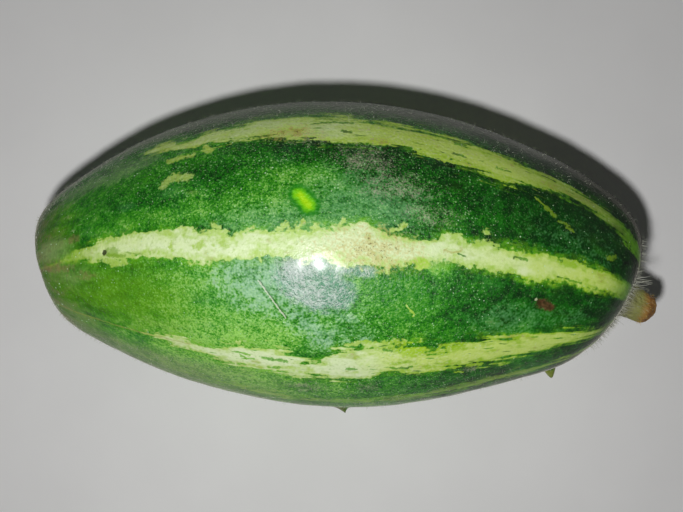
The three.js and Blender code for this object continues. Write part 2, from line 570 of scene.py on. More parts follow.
# %% Finishes
class Finish:
    """The nodes of a material or of the world, and ways to add more."""

    def __init__(self, owner):
        owner.use_nodes = True
        self.owner = owner
        self.tree = owner.node_tree
        self.tree.nodes.clear()

    def tell(self, step):
        """Prints how many nodes there are after a step."""
        print(step, "- nodes so far:", len(self.tree.nodes))

    def node(self, kind, settings, inputs, output=0):
        """Adds a node with its settings; its inputs take values or links."""
        made = self.tree.nodes.new("ShaderNode" + kind)
        for name, value in settings.items():
            setattr(made, name, value)
        for name, value in inputs.items():
            if isinstance(value, Signal):
                self.tree.links.new(value.socket, made.inputs[name])
            else:
                made.inputs[name].default_value = value
        return Signal(self, made.outputs[output]) if made.outputs else None

    def curve(self, signal, points, low, high):
        """A curve through the given points, whose heights lie from low to high, read at signal."""
        result = self.node("FloatCurve", {}, {"Value": signal})
        mapping = result.socket.node.mapping
        drawn = mapping.curves[0].points
        for _ in points[2:]:
            drawn.new(0.5, 0.5)
        for point, (left, height) in zip(drawn, points):
            point.location = (left, (height - low) / (high - low))
        mapping.update()
        return result * (high - low) + low

    def ramp(self, signal, stops):
        """Colours at places from 0 to 1, blended between."""
        result = self.node("ValToRGB", {}, {0: signal})
        ramp = result.socket.node.color_ramp
        ramp.elements.remove(ramp.elements[1])
        ramp.elements[0].position, ramp.elements[0].color = stops[0]
        for position, color in stops[1:]:
            ramp.elements.new(position).color = color
        return result

    def mix(self, share, first, second):
        """The first colour where share is 0, the second where it is 1."""
        inputs = {0: share, 6: first, 7: second}  # the node has these sockets for colours
        return self.node("Mix", {"data_type": "RGBA"}, inputs, 2)

    def vector(self, x, y, z):
        return self.node("CombineXYZ", {}, {"X": x, "Y": y, "Z": z})

    def part(self, vector, axis):
        return self.node("SeparateXYZ", {}, {"Vector": vector}, axis)

    def millimetres(self):
        """The place on the piece, in millimetres."""
        metres = self.node("TexCoord", {}, {}, "Object")
        return self.node("VectorMath", {"operation": "SCALE"}, {"Vector": metres, "Scale": 1000})

    def noise(self, vector, size, detail=2):
        """Clouds of about the given size in mm; most of their heights lie between -1 and 1."""
        inputs = {"Vector": vector, "Scale": 1 / size, "Detail": detail}
        return (self.node("TexNoise", {}, inputs) - 0.5) * 4

    def cells(self, vector, size, output="Distance"):
        """Cells of about the given size in mm: how far their middles are, or a tint for each."""
        return self.node("TexVoronoi", {}, {"Vector": vector, "Scale": 1 / size}, output)

    def bump(self, height, distance):
        """A bump from a height signal, where a height of 1 stands distance high."""
        return self.node("Bump", {}, {"Height": height, "Distance": distance})

    def cover(self, piece, inputs):
        """Ends in a Principled shader with these inputs, and puts the finish on the piece."""
        surface = self.node("BsdfPrincipled", {}, inputs)
        self.node("OutputMaterial", {}, {"Surface": surface})
        piece.data.materials.clear()
        piece.data.materials.append(self.owner)


def paint(red, green, blue):
    """A colour as it looks on screen, 0 to 255, made into the linear light that shaders mix."""
    def linear(value):
        share = value / 255
        return share / 12.92 if share < 0.04045 else ((share + 0.055) / 1.055) ** 2.4
    return (linear(red), linear(green), linear(blue), 1)


# %% [markdown]
# ## The skin: where we are on it
#
# The sphere's UV map gives the place on the skin: `along` is V, and `turn` comes from U. Rolled
# out flat, the skin is measured in millimetres, `lengthwise` and `sideways`. For grain there are
# two vectors. `place` is the plain position. `flow` has the skin's roll taken out, so a streak
# drawn in it runs from end to end and closes up with the stripes, as it does on the fruit.

# %% Coordinates on the skin
MM_PER_DEGREE = 0.35  # around the girth

skin = Finish(bpy.data.materials.new("gourd_skin"))
uv = skin.node("UVMap", {"uv_map": "UVMap"}, {})
along = skin.part(uv, "Y")
turn = (360 - skin.part(uv, "X") * 360).wrapped(180, -180)
lengthwise = (along * math.pi).cosine() * (-HALF_LENGTH / MM)
sideways = turn * MM_PER_DEGREE
place = skin.millimetres()
far_side = sideways.rise(2, 14)


def flow(stretch):
    """A vector for grain that is stretched along the fruit."""
    angle = turn * math.radians(1)
    radius = GIRTH_RADIUS / MM
    return skin.vector(lengthwise / stretch, angle.sine() * radius, angle.cosine() * radius)


skin.tell("coordinates")

# %% [markdown]
# Single marks could be painted on by hand, but a painting has a resolution. Here they are ellipses
# and strokes, computed from the distance to a place or a line, and they stay sharp close up. They
# are drawn in coordinates that wobble a little, because nothing on a fruit has a ruled outline.

# %% Patches and strokes
EVEN = (lengthwise, sideways)
WOBBLY = (lengthwise + skin.noise(place, 1.1) * 0.22, sideways + skin.noise(flow(1), 1) * 0.22)


def rolled_out(place_along, place_turn):
    """A place on the skin in the same millimetres as lengthwise and sideways."""
    return (-math.cos(math.pi * place_along) * HALF_LENGTH / MM, place_turn * MM_PER_DEGREE)


def patch(place_along, place_turn, reach_lengthwise, reach_sideways):
    """1 at a place, 0 on an ellipse around it that reaches so many mm, less outside."""
    middle = rolled_out(place_along, place_turn)
    x = (WOBBLY[0] - middle[0]) / reach_lengthwise
    y = (WOBBLY[1] - middle[1]) / reach_sideways
    return 1 - (x * x + y * y)


def stroke(start_along, start_turn, end_along, end_turn, width, hand=WOBBLY):
    """1 on a line from one place to another, 0 at half its width in mm to either side."""
    start = Vector(rolled_out(start_along, start_turn))
    end = Vector(rolled_out(end_along, end_turn))
    run = (end - start).length
    direction = (end - start) / run
    x, y = hand[0] - start.x, hand[1] - start.y
    walked = x * direction.x + y * direction.y
    beyond = walked - walked.at_least(0).at_most(run)
    aside = y * direction.x - x * direction.y
    return 1 - (beyond * beyond + aside * aside).root() / (width / 2)


def highest(signals):
    """At each place, the highest of several signals."""
    return functools.reduce(Signal.at_least, signals)


def strongest(patches):
    """The highest of several patches. Each row is a place, its two reaches and its share."""
    return highest(patch(*where) * share for *where, share in patches)


print("middle of the crown, rolled out, mm:", rolled_out(0.5, 0))

# %% [markdown]
# ## The stripes
#
# The pale stripes follow the fruit's ribs. A wave texture would give even bands, but each real
# stripe wanders and swells in its own way. So each is two curves over `along`: its course, in
# degrees of turn, and its half-width. Where the half-width is below zero there is no stripe. The
# four on top differ most; the hidden ones share a drift.

# %% The course and half-width of each stripe
STRIPES = {
    "middle": (
        [(0, -2), (0.13, 2.5), (0.19, 5.2), (0.23, 6.4), (0.28, 7.2), (0.315, 7.1), (0.34, 5.6),
         (0.36, 4.8), (0.385, 4), (0.42, 2.9), (0.46, 3.8), (0.5, 2.8), (0.535, 2.8), (0.56, 1),
         (0.59, 1.8), (0.62, 2.9), (0.68, 2.4), (0.71, 2.3), (0.77, 3.2), (0.86, 3.4), (1, 1)],
        [(0, -1), (0.13, 0), (0.17, 1.4), (0.2, 2.8), (0.23, 4.8), (0.28, 5.9), (0.315, 5),
         (0.34, 5.3), (0.36, 6), (0.385, 5.6), (0.42, 4.2), (0.46, 4.5), (0.5, 5.6), (0.53, 7),
         (0.56, 5.6), (0.6, 5.5), (0.62, 4.9), (0.66, 5.3), (0.7, 6), (0.77, 6), (0.85, 5.8),
         (1, 5)],
    ),
    "left": (
        [(0, 60), (0.3, 54), (0.34, 53.6), (0.365, 50.4), (0.385, 52), (0.415, 49.3),
         (0.44, 51.2), (0.48, 50), (0.54, 47.6), (0.58, 47.4), (0.62, 45), (0.66, 42.2),
         (0.7, 44), (0.75, 44), (0.8, 41.5), (0.86, 38.5), (1, 34)],
        [(0, -7), (0.3, -2), (0.33, 2), (0.365, 2), (0.385, 4.6), (0.415, 3.8), (0.44, 5.8),
         (0.48, 6.2), (0.54, 7), (0.58, 6), (0.62, 6.6), (0.66, 6.8), (0.7, 4.6), (0.75, 3.4),
         (0.8, 3.5), (0.86, 4.4), (1, 5)],
    ),
    "right": (
        [(0, -34), (0.28, -36.5), (0.32, -38.2), (0.36, -40), (0.4, -39.3), (0.44, -41.5),
         (0.465, -43.8), (0.485, -42), (0.52, -39.6), (0.56, -37.8), (0.585, -38.6),
         (0.605, -40.8), (0.655, -38.8), (0.7, -37.6), (0.74, -36), (0.8, -34.6), (0.86, -32),
         (1, -28)],
        [(0, -4), (0.22, -2), (0.3, 1), (0.32, 2.6), (0.36, 3), (0.4, 5.8), (0.44, 5),
         (0.465, 3.3), (0.485, 7), (0.52, 7.4), (0.56, 6.6), (0.585, 7), (0.605, 5), (0.655, 7),
         (0.7, 7), (0.74, 6.2), (0.8, 5), (0.86, 3.6), (1, 4)],
    ),
    "low_right": (
        [(0, -56), (0.36, -62), (0.45, -66), (0.55, -66), (0.65, -63), (0.75, -60),
         (0.85, -56.5), (1, -52)],
        [(0, -6), (0.3, -2), (0.42, 1.6), (0.55, 2.4), (0.7, 2.6), (0.85, 2.8), (1, 4)],
    ),
}
HIDDEN_COURSES = (92, 136, 180, -142, -100)
HIDDEN_DRIFT = [(0, -6), (0.3, 1), (0.45, -2.5), (0.6, 2), (0.75, -1), (1, -5)]
HIDDEN_HALF_WIDTH = [(0, -6), (0.2, -1), (0.32, 4), (0.45, 5.4), (0.62, 4.6), (0.75, 6), (1, 5)]
print("stripes:", len(STRIPES) + len(HIDDEN_COURSES))

# %% [markdown]
# What matters to the shader is `depth`: how many degrees a place lies inside the nearest stripe.
# One number for all stripes is enough, because they never cross.

# %% How deep inside a stripe
def depth_inside(course, half_width):
    """Degrees inside the stripe; less than zero outside it."""
    return half_width - abs((turn - course).wrapped(180, -180))


depth = highest(
    depth_inside(skin.curve(along, courses, -90, 90), skin.curve(along, half_widths, -8, 8))
    for courses, half_widths in STRIPES.values()
)
drift = skin.curve(along, HIDDEN_DRIFT, -10, 10)
hidden_half_width = skin.curve(along, HIDDEN_HALF_WIDTH, -8, 8)
for number, base in enumerate(HIDDEN_COURSES):
    swing = (-1) ** number  # neighbours wander opposite ways
    depth = depth.at_least(depth_inside(drift * swing + base, hidden_half_width))
skin.tell("stripes")

# %% [markdown]
# Noise added to the depth frays the edges. The middle stripe is smooth grained, the others are
# streaky, the low one has nearly grown over, and all grow softer towards both ends.

# %% Fray the stripes
outer = abs(sideways - 1).rise(5, 10)  # everywhere but on the middle stripe
teeth = skin.noise(flow(1.6), 1.7)
fringe = skin.noise(place, 0.55)
streaks = skin.noise(flow(7), 0.9)
frayed = depth + teeth * 1.9 + fringe * 1.1 + streaks * (outer * 2.6 + 1)
low_stripe = sideways.rise(-30, -27)
towards_stalk = along.rise(0.62, 0.72) * 0.5
faint = sideways.fall(-20, -17.5) * low_stripe * (1 - towards_stalk)
faint = faint.at_least(along.fall(0.16, 0.24))
softness = sideways.rise(15.5, 19) * 2.5 + along.rise(0.74, 0.86) * 2 + along.fall(0.16, 0.24) * 3
pale = (frayed / (softness + 1)).rise(-0.5, 0.5) * (1 - faint * 0.6)
margin = (frayed + fringe).rise(-3.4, 0.6)  # green turns yellowish just outside a stripe
skin.tell("frayed edges")

# %% [markdown]
# Green slits open inside the stripes, and pale islets lie beside them. Noise alone would never put
# them where the eye expects them, so the ones that stand out are short strokes, placed one by one.

# %% Slits and islets, one by one
ISLETS = [  # where from, where to, how wide in mm
    (0.335, 31.6, 0.349, 34, 1.5), (0.349, 34, 0.363, 32.6, 1.8), (0.345, 43.4, 0.37, 43, 1),
    (0.385, 46, 0.389, 43, 1.2), (0.386, 11.2, 0.39, 10.4, 0.9), (0.412, 8, 0.426, 10, 0.5),
    (0.448, 8, 0.458, 10.2, 0.9), (0.466, 8, 0.474, 10.6, 0.8), (0.503, 8, 0.512, 11, 0.9),
    (0.555, 8, 0.568, 10.4, 0.7), (0.614, 8.6, 0.622, 9.2, 0.7), (0.64, 7.6, 0.664, 7.8, 0.6),
    (0.649, 12.4, 0.651, 11.6, 0.8), (0.698, 32.5, 0.712, 30, 0.45), (0.712, 30, 0.722, 27, 0.9),
    (0.73, 25.4, 0.742, 25, 0.6), (0.742, 24, 0.752, 23, 0.6), (0.819, 17, 0.826, 20, 1),
    (0.569, -17, 0.577, -20.5, 0.35), (0.27, 0.5, 0.255, -0.8, 1.2), (0.243, 2.4, 0.259, 0.4, 1.8),
    (0.5, -31.6, 0.535, -31.2, 0.7), (0.512, -30.8, 0.528, -30.4, 0.6),
    (0.545, -31, 0.568, -31, 1), (0.612, -33.6, 0.626, -33, 0.9), (0.655, -45, 0.674, -45.4, 1),
    (0.638, -48.5, 0.65, -49.5, 0.5),
]
SLITS = [
    (0.6, -2.9, 0.616, -2.7, 2.1), (0.385, -38, 0.398, -38.4, 0.45),
    (0.388, -39.8, 0.4, -40.2, 0.5), (0.41, -39, 0.436, -40.2, 0.7),
    (0.498, -43.4, 0.508, -43.6, 0.6), (0.55, -42.6, 0.578, -43.4, 0.6),
    (0.543, -34.4, 0.552, -34.8, 0.7), (0.357, 53.6, 0.374, 54, 1.4),
    (0.408, 54.6, 0.424, 54.6, 0.9), (0.5, 52.6, 0.528, 52.8, 0.5), (0.52, 47.4, 0.524, 47, 0.7),
    (0.616, 50, 0.624, 49.8, 0.9), (0.614, 43.4, 0.624, 43.2, 0.6),
    (0.656, 41.6, 0.668, 41.8, 0.5), (0.749, -0.2, 0.784, -0.9, 0.45), (0.684, 4.2, 0.7, 4, 0.5),
    (0.623, 2.2, 0.629, 1.6, 0.35),
]
print("islets and slits drawn by hand:", len(ISLETS) + len(SLITS))

# %% [markdown]
# The small slits and islets come from streaky noise. All of them are cut out of the stripes or
# added to them before any colour is chosen, so that `pale` alone says where the pale skin is.

# %% Open the slits, leave the islets
grain_of_edges = skin.noise(place, 0.25, detail=0)


def draw_all(strokes):
    """The strokes of a list taken together, with a rough outline."""
    drawn = highest(stroke(*row) for row in strokes)
    return (drawn + fringe * 0.4 + grain_of_edges * 0.2).rise(0, 0.7)


slit_grain = skin.noise(flow(4.5), 0.5, detail=1) + fringe * 0.25
slits = (slit_grain + streaks * 0.4).rise(0.75, 1.15) * (outer * 0.9 + 0.1)
islets = slit_grain.fall(-1.0, -0.7) * depth.rise(-7, -1) * (outer * 0.6 + 0.3)
far_right = along.rise(0.66, 0.74)
islet_strength = 0.92 - far_right * 0.42 - along.fall(0.34, 0.4) * far_side * 0.25
pale = (pale * (1 - slits * 0.8)).at_least(islets * 0.7)
pale = pale.at_least(draw_all(ISLETS) * islet_strength) * (1 - draw_all(SLITS) * 0.85)
grown_out = (along + teeth * 0.012 + far_side * 0.05).fall(0.81, 0.92)  # gone at the stalk
pale = pale * grown_out * (1 - far_side * far_right * 0.2)
low_band = sideways.fall(-20.5, -18.5) * low_stripe * along.rise(0.4, 0.5)
low_breaks = (streaks + teeth * 0.4).rise(-0.4, 0.5) * (1 - towards_stalk)
pale = pale * (1 - low_band * low_breaks * 0.75)
skin.tell("slits and islets")

# %% [markdown]
# ## The green between
#
# The green isn't one green. It is light and warm at the blossom end, full and clear in the middle,
# and a deep bluish green towards the stalk. Part of that is painted light: the green is darkened
# towards the stalk and up the far side as painted shade, and lightened in the haze under the
# gloss.
# Painting each place in its own colour would never blend, so one signal, `lightness`, holds all of
# this: a curve over `along`, listed patches, and clouds at five scales, from 6 mm down to the
# grain of the skin. A colour ramp then turns the lightness into paint.

# %% Lightness of the green
# lightness along the fruit; its fall towards the stalk is partly painted shade
BY_ALONG = [(0, 0.42), (0.15, 0.46), (0.27, 0.56), (0.4, 0.62), (0.5, 0.58), (0.58, 0.5),
            (0.66, 0.38), (0.78, 0.31), (0.86, 0.19), (1, 0.14)]
LIGHTER_PATCHES = [  # a place, how far it reaches lengthwise and sideways in mm, how much lighter
    (0.4, -17, 13, 7, 0.14), (0.24, -17, 12, 8, 0.12), (0.46, -28, 7, 3.4, 0.14),
    (0.27, 18, 6, 3, 0.12), (0.603, -3, 2.4, 1.6, 0.3), (0.33, -46, 17, 11, 0.3),
    (0.1, 25, 7, 12, 0.1), (0.55, -18, 6, 6, 0.12), (0.75, -24, 8, 4, 0.12),
    (0.23, 45, 12, 8, 0.1), (0.48, 18, 11, 5, 0.12), (0.32, 30, 11, 5, -0.14),
    (0.52, 40, 16, 4, -0.2), (0.62, -16, 8, 7, 0.06), (0.48, 27, 6, 3, 0.1),
    (0.3, 19, 4, 2, 0.1), (0.35, 17, 4, 2.4, 0.14), (0.72, -27, 4, 2.4, 0.14),
    (0.48, -54, 3, 4, 0.16), (0.76, -60, 5, 3, 0.2),
]
GRAIN_BY_ALONG = [(0, 0.4), (0.12, 0.6), (0.24, 0.68), (0.36, 1), (0.56, 1), (0.68, 0.6), (1, 0.3)]

big_clouds = skin.noise(flow(1.5), 6)
clouds = skin.noise(flow(1.3), 2.6, detail=3)
curds = skin.noise(place, 0.95, detail=1)
grain = skin.noise(place, 0.3, detail=0)
coarse = skin.curve(along, GRAIN_BY_ALONG, 0, 1)
calm = 1 - far_side * along.rise(0.6, 0.75) * 0.4
mottling = big_clouds * 0.09 + clouds * 0.14 + curds * 0.11 + grain * coarse * 0.13
mottling = mottling + skin.noise(place, 0.16, detail=0) * coarse * coarse * 0.12
# darker up the far side, as painted shade where less light falls
lightness = skin.curve(along, BY_ALONG, 0, 1) - far_side * along.rise(0.2, 0.45) * 0.12
for *where, lighter in LIGHTER_PATCHES:
    lightness = lightness + patch(*where).at_least(0) * lighter
green = skin.ramp(lightness + mottling * calm, [
    (0.0, paint(0, 22, 2)), (0.25, paint(2, 60, 4)), (0.5, paint(22, 114, 4)),
    (0.72, paint(68, 156, 26)), (1.0, paint(156, 216, 98)),
])
skin.tell("green")

# %% [markdown]
# The hue wanders too: bluish in some clouds, yellowish in others and along the stripes. Where dust
# lies the green turns grey in a fine net. Round the gloss a milky haze is painted, partly the wax
# bloom and partly a painted reflection of the lamp. Each is a thin layer of paint over the green,
# as a share that clouds break up.

# %% Warm, dusty and hazy places
hue = skin.noise(flow(1.2), 3.4)
green = green.over(hue.rise(0.2, 1.6) * along.fall(0.5, 0.75) * 0.35, 84, 150, 92)
green = green.over(hue.fall(-1.5, -0.1) * 0.35, 60, 146, 4)
warmth = patch(0.25, -18, 12, 8).at_least(patch(0.1, -5, 7, 30)) + clouds * 0.35
green = green.over(warmth.rise(-0.1, 1.1) * 0.5, 112, 166, 2)
dust = strongest([
    (0.53, 17, 10, 6, 1.1), (0.45, 12, 12, 3, 0.9), (0.44, -13, 13, 6, 0.9),
    (0.7, -23, 7, 3.8, 0.8), (0.77, -21, 5, 2.6, 0.5), (0.47, -31, 2.4, 2, 0.9),
    (0.75, 20, 7, 4, 0.4),
])
net = (dust.at_least(0) + big_clouds * 0.2 + curds * 0.35 + grain * 0.4).rise(0.2, 1.7)
green = green.over(net * 0.55, 112, 170, 120)
clear = (patch(0.56, -14, 5, 4.5) + clouds * 0.4).rise(0, 1)
green = green.over(clear * 0.4, 6, 128, 4)
# partly wax bloom, partly a painted reflection of the lamp round the gloss
haze_and_glare = stroke(0.456, -21, 0.482, -29, 4.4) + fringe * 0.3
haze_and_glare = haze_and_glare.at_least(strongest([(0.5, -25, 5, 2.4, 0.4), (0.425, -7, 6, 5, 1.1)]))
haze_and_glare = (haze_and_glare + clouds * 0.5 + curds * 0.6 + grain * 0.45).rise(0, 1.5)
green = green.over(haze_and_glare * 0.46, 178, 216, 196)
yellowish = margin * (clouds * 0.5 + curds * 0.2 + 0.45).at_least(0)
green = green.over(yellowish, 112, 186, 18)
skin.tell("warm, dusty and hazy places")

# %% [markdown]
# Countless pale dots lie over the green, the skin's pores. Noise would give blots of all shapes,
# so a Voronoi texture scatters them: its distance draws each dot, and its random colour gives each
# a brightness of its own.

# %% Pale pores
PORE_SPACING = 0.52  # mm
PORE_PALE = paint(176, 224, 146)

pore = skin.cells(place, PORE_SPACING).fall(0.1, 0.28)
pore_brightness = skin.part(skin.cells(place, PORE_SPACING, "Color"), "X").rise(0.2, 1)
pore_share = pore * pore_brightness * (clouds + curds * 0.5).rise(-1.2, 1.4)
green = skin.mix(pore_share * coarse * 0.95, green, PORE_PALE)
# finer sparkle, strongest in the middle of the fruit: partly pores, partly painted glints
painted_sparkle = skin.noise(place, 0.17, detail=0).rise(0.5, 1.7)
green = skin.mix(painted_sparkle * coarse * coarse * calm * 0.65, green, PORE_PALE)
skin.tell("pores")

# %% [markdown]
# Both flanks are painted light and shade. The far one, turned from the lamp, is darkened as
# painted shade, nearly black towards the stalk, and greyed as a painted sheen of down at its edge.
# The near one is lightened to a pale grey green, a painted sheen of down lit from the lamp's side.
# The down itself is too thin to do that alone, so the paint under it is greyed as well.

# %% Flanks: painted shade and sheen
# far flank: painted shade, nearly black towards the stalk, grey as a painted sheen of down
far_flank_painted_shade = sideways + clouds * 0.9 + curds * 0.5 - along.fall(0.2, 0.4) * 2.5
far_flank_painted_shade = far_flank_painted_shade.rise(18, 23.5) * sideways.fall(25, 34)
far_shade_and_sheen = skin.ramp(along, [
    (0.25, paint(70, 84, 62)), (0.44, paint(74, 80, 70)), (0.56, paint(104, 106, 98)),
    (0.66, paint(70, 78, 66)), (0.8, paint(4, 16, 6)),
])
green = skin.mix(far_flank_painted_shade * (curds * 0.14 + grain * 0.1 + 0.64), green, far_shade_and_sheen)
# near flank: a painted sheen of down lit from the lamp's side
near_flank_painted_sheen = (sideways + clouds * 0.8).fall(-18.5, -14.5) * sideways.rise(-44, -30)
near_flank_painted_sheen = near_flank_painted_sheen * (along + clouds * 0.03).fall(0.28, 0.5)
near_flank_painted_sheen = near_flank_painted_sheen * (along.rise(0.1, 0.22) * 0.5 + 0.5)
green = green.over(near_flank_painted_sheen * (curds * 0.12 + 0.42), 158, 166, 122)
skin.tell("flanks")

# %% [markdown]
# At the blossom end the green turns dull, blotchy and brown, and beside the stalk it wears a grey
# fuzz. These fade in along the fruit, so they are bands over `along`, broken up by the clouds.

# %% Dull blossom end, fuzzy shoulder
tip = strongest([(0.125, 14, 4.5, 4, 1), (0.16, -42, 10, 7, 0.6), (0.17, -6, 5, 4, 0.6)])
tip = tip.at_least(along.fall(0.02, 0.14) * 0.4)
tip = (tip + clouds * 0.3 + curds * 0.15).rise(0, 1)
green = green.over(tip * along.fall(0.1, 0.26) * 0.65, 166, 188, 124)
# painted shade on the far side of the blossom end
green = green.over(far_side * along.fall(0.1, 0.2) * 0.5, 52, 62, 46)
far_dust = (patch(0.27, 50, 10, 3.4) + clouds * 0.5 + curds * 0.4).rise(0, 1)
green = green.over(far_dust * 0.36, 128, 132, 116)
blossom_half = along.fall(0.24, 0.36) * sideways.rise(0, 5)
blotches = skin.noise(flow(1.6), 1.5).rise(0.1, 1.3)
green = green.over(blossom_half * blotches * 0.5, 18, 62, 16)
fuzz_flecks = skin.noise(flow(3), 0.5, detail=1).rise(0.75, 1.3)
green = green.over(blossom_half * fuzz_flecks * 0.45, 170, 180, 140)
shoulder_fuzz = (along + curds * 0.01).rise(0.88, 0.97)
shoulder_fuzz = shoulder_fuzz * sideways.fall(0, 8) * sideways.rise(-34, -24)
green = green.over(shoulder_fuzz * 0.6, 108, 112, 94)
tip_stain = (along.fall(0.08, 0.26) + clouds * 0.7 + curds * 0.4).rise(0.5, 1.7)
green = green.over(tip_stain * 0.6, 116, 108, 66)
skin.tell("ends")

# %% [markdown]
# ## The pale of the stripes
#
# Inside a stripe the colour is a pale yellow green: milky in the middle of the fruit, more lime at
# both ends and along the edges. The milky middle, nearest the lamp, is partly painted light, and
# the darker lime of the ends partly painted shade. The stripe up the far side is duller and
# stained brown in places, and darkens towards the stalk as painted shade. The same clouds as in
# the green shade it, so both read as one skin.

# %% Pale colour
stain = skin.noise(flow(2), 1.4)
milky = (frayed + curds * 1.8 + clouds * 1.6).rise(-0.6, 4.4)
# more lime and darker at both ends, partly as painted shade away from the lamp
lime_and_shaded_ends = abs(along - 0.45) + clouds * 0.06 + outer * along.rise(0.48, 0.56) * 0.16
lime_and_shaded_ends = lime_and_shaded_ends.rise(0.08, 0.34)
pale_edge = skin.mix(lime_and_shaded_ends, paint(186, 220, 112), paint(156, 202, 38))
pale_core = skin.mix(lime_and_shaded_ends, paint(228, 246, 192), paint(206, 232, 116))
pale_color = skin.mix(milky, pale_edge, pale_core)
olive = (curds * 0.5 + stain * 0.9).rise(0.3, 1.2)
pale_color = pale_color.over(olive * 0.65, 160, 190, 52)
on_far_stripe = sideways.rise(10, 14)
dull = on_far_stripe * (1 - patch(0.65, 44, 7, 4).at_least(0) * 0.55) + faint
# the far stripe darkens towards the stalk as painted shade
dull_and_shaded_color = skin.mix(along.rise(0.64, 0.8), paint(192, 226, 80), paint(120, 142, 60))
pale_color = skin.mix(dull * (stain * 0.3 + 0.6), pale_color, dull_and_shaded_color)
brown = (on_far_stripe * 0.4 + stain + curds * 0.5 + grain * 0.4).rise(0.8, 1.9)
pale_color = pale_color.over(brown * 0.6, 164, 138, 62)
skin.tell("pale")

# %% [markdown]
# The pale skin isn't flat either: it is curdled with yellow, and as finely grained as the green.
# When it has its colour too, `pale` lays it over the green.

# %% Yellow curds and grain in the pale
yellow = strongest([(0.577, -34, 2.4, 1.5, 1.5), (0.583, -2.4, 1.5, 0.9, 1.5)]) + curds * 0.4
yellow = yellow.at_least((clouds * 0.8 + curds * 0.5) * (outer * 0.7 + 0.3) - 0.4)
yellow = yellow.at_least((clouds * 0.8 + stain * 0.6) * along.rise(0.58, 0.68) * 0.8 - 0.4)
pale_color = pale_color.over(yellow.rise(-0.1, 0.9) * 0.75, 164, 210, 14)
pale_color = pale_color.over(grain.rise(0, 1.3) * coarse * 0.28, 244, 250, 214)
pale_color = pale_color.over(grain.fall(-1.4, -0.3) * coarse * 0.3, 140, 172, 44)
color = skin.mix(pale, green, pale_color)
skin.tell("green and pale together")

# %% [markdown]
# ## Specks, scuffs and scars
#
# Nothing that grew outdoors is clean. Towards the blossom end there is a yellowish line along a
# rib, a green wedge at the middle stripe and a few brown stains. Each has its own place, so each
# is a patch or a stroke, with noise added to roughen its edge.

# %% Stains towards the blossom end
rib_line = stroke(0.1, -36, 0.2, -35.6, 0.7).at_least(stroke(0.2, -35.6, 0.33, -37.4, 0.5))
color = color.over((rib_line + fringe * 0.3).rise(-0.2, 0.9) * 0.55, 168, 176, 84)
wedge = stroke(0.25, 4.2, 0.272, 3, 1).at_least(stroke(0.275, 4.6, 0.298, 3.4, 0.5) * 0.8)
color = color.over((wedge + fringe * 0.5 + grain * 0.3).rise(0, 0.9) * 0.7, 122, 168, 30)
stains = strongest([(0.13, -1, 3.6, 1.5, 1), (0.192, 17, 1, 1.2, 1), (0.2, -6, 2, 1.2, 0.8)])
color = color.over((stains + curds * 0.4 + fringe * 0.5).rise(0, 1.3) * 0.6, 146, 126, 84)
skin.tell("stains")

# %% [markdown]
# The middle stripe has lime marks, a cream spot and a thin brown streak, made in the same way.

# %% Marks on the middle stripe
lime_marks = patch(0.368, 4.8, 0.9, 0.8).at_least(patch(0.391, 4.6, 1.1, 0.7))
lime_marks = lime_marks.at_least(patch(0.331, 10.8, 1, 0.5) * 0.8)
lime_marks = lime_marks.at_least(stroke(0.3357, 7.4, 0.3357, 3.6, 0.6))
lime_marks = (lime_marks + fringe * 0.6 + curds * 0.3).rise(0, 1)
color = color.over(lime_marks * 0.75, 164, 204, 56)
cream = (patch(0.7, -0.6, 1.3, 1) + curds * 0.3).rise(0, 1)
color = color.over(cream * 0.7, 234, 248, 196)
brown_streak = stroke(0.608, 2.8, 0.624, 3.2, 0.6) + fringe * 0.5 + grain * 0.3
color = color.over(brown_streak.rise(0, 1) * 0.6, 168, 160, 48)
skin.tell("marks")

# %% [markdown]
# White specks of dust sit all over, large ones in places. The fine ones on the middle of the
# fruit, round the gloss, are partly painted glints of the lamp. They come from Voronoi cells, as
# the pores do, and the noise that sets their size leaves some places bare.

# %% White specks
speck_field = skin.cells(place, 0.8)
speck_size = skin.noise(place, 3).rise(-1.4, 1.8) * 0.16 + along.fall(0.1, 0.22) * 0.06
specks = (speck_size - speck_field).rise(-0.03, 0.03)
color = color.over(specks * 0.75, 206, 242, 196)

FINE_SPACING = 0.42  # mm
SPECKLED = [(0, 0.1), (0.3, 0.3), (0.42, 1), (0.6, 1), (0.7, 0.35), (1, 0)]
speckled = skin.curve(along, SPECKLED, 0, 1)
fine_tint = skin.part(skin.cells(place, FINE_SPACING, "Color"), "Y").rise(0.35, 1)
# fine specks round the gloss: partly dust, partly painted glints
fine_specks_and_glints = (0.23 + clouds * 0.1 - skin.cells(place, FINE_SPACING)).rise(0, 0.14) * fine_tint
color = color.over(fine_specks_and_glints * speckled * (1 - pale * 0.7) * 0.8, 178, 228, 164)
skin.tell("specks")

# %% [markdown]
# Where the skin was rubbed there are pinkish scuffs, between the middle stripe and the far one and
# on the near flank, and rust with dark freckles on the stripes. A patch gives the place, and fine
# noise with a high threshold the scattered grain.

# %% Scuffs and rust
scuff_zone = strongest([
    (0.535, 34, 5, 3.4, 1), (0.56, 24, 6, 3, 1), (0.59, 15, 4, 2.4, 1), (0.49, 44, 3.5, 2.2, 1),
    (0.45, -55, 5, 2, 1), (0.52, -54, 2.5, 1.8, 1), (0.66, -48, 2, 1.2, 1),
])
scuffs = (scuff_zone + curds * 0.4 + skin.noise(place, 0.2) * 0.8).rise(0.5, 2)
color = color.over(scuffs * 0.6, 196, 184, 166)
rust_zone = patch(0.535, 1.5, 6.5, 2.8).at_least(patch(0.47, 47, 4, 1.6))
rust = (rust_zone + grain * 0.7 + curds * 0.5).rise(-0.1, 1.5)
color = color.over(rust * 0.6, 196, 184, 94)
freckles = (rust_zone.at_least(-1) + skin.noise(place, 0.22) * 1.3 + curds * 0.6).rise(1.3, 2.2)
color = color.over(freckles * 0.75, 108, 96, 32)
skin.tell("scuffs")

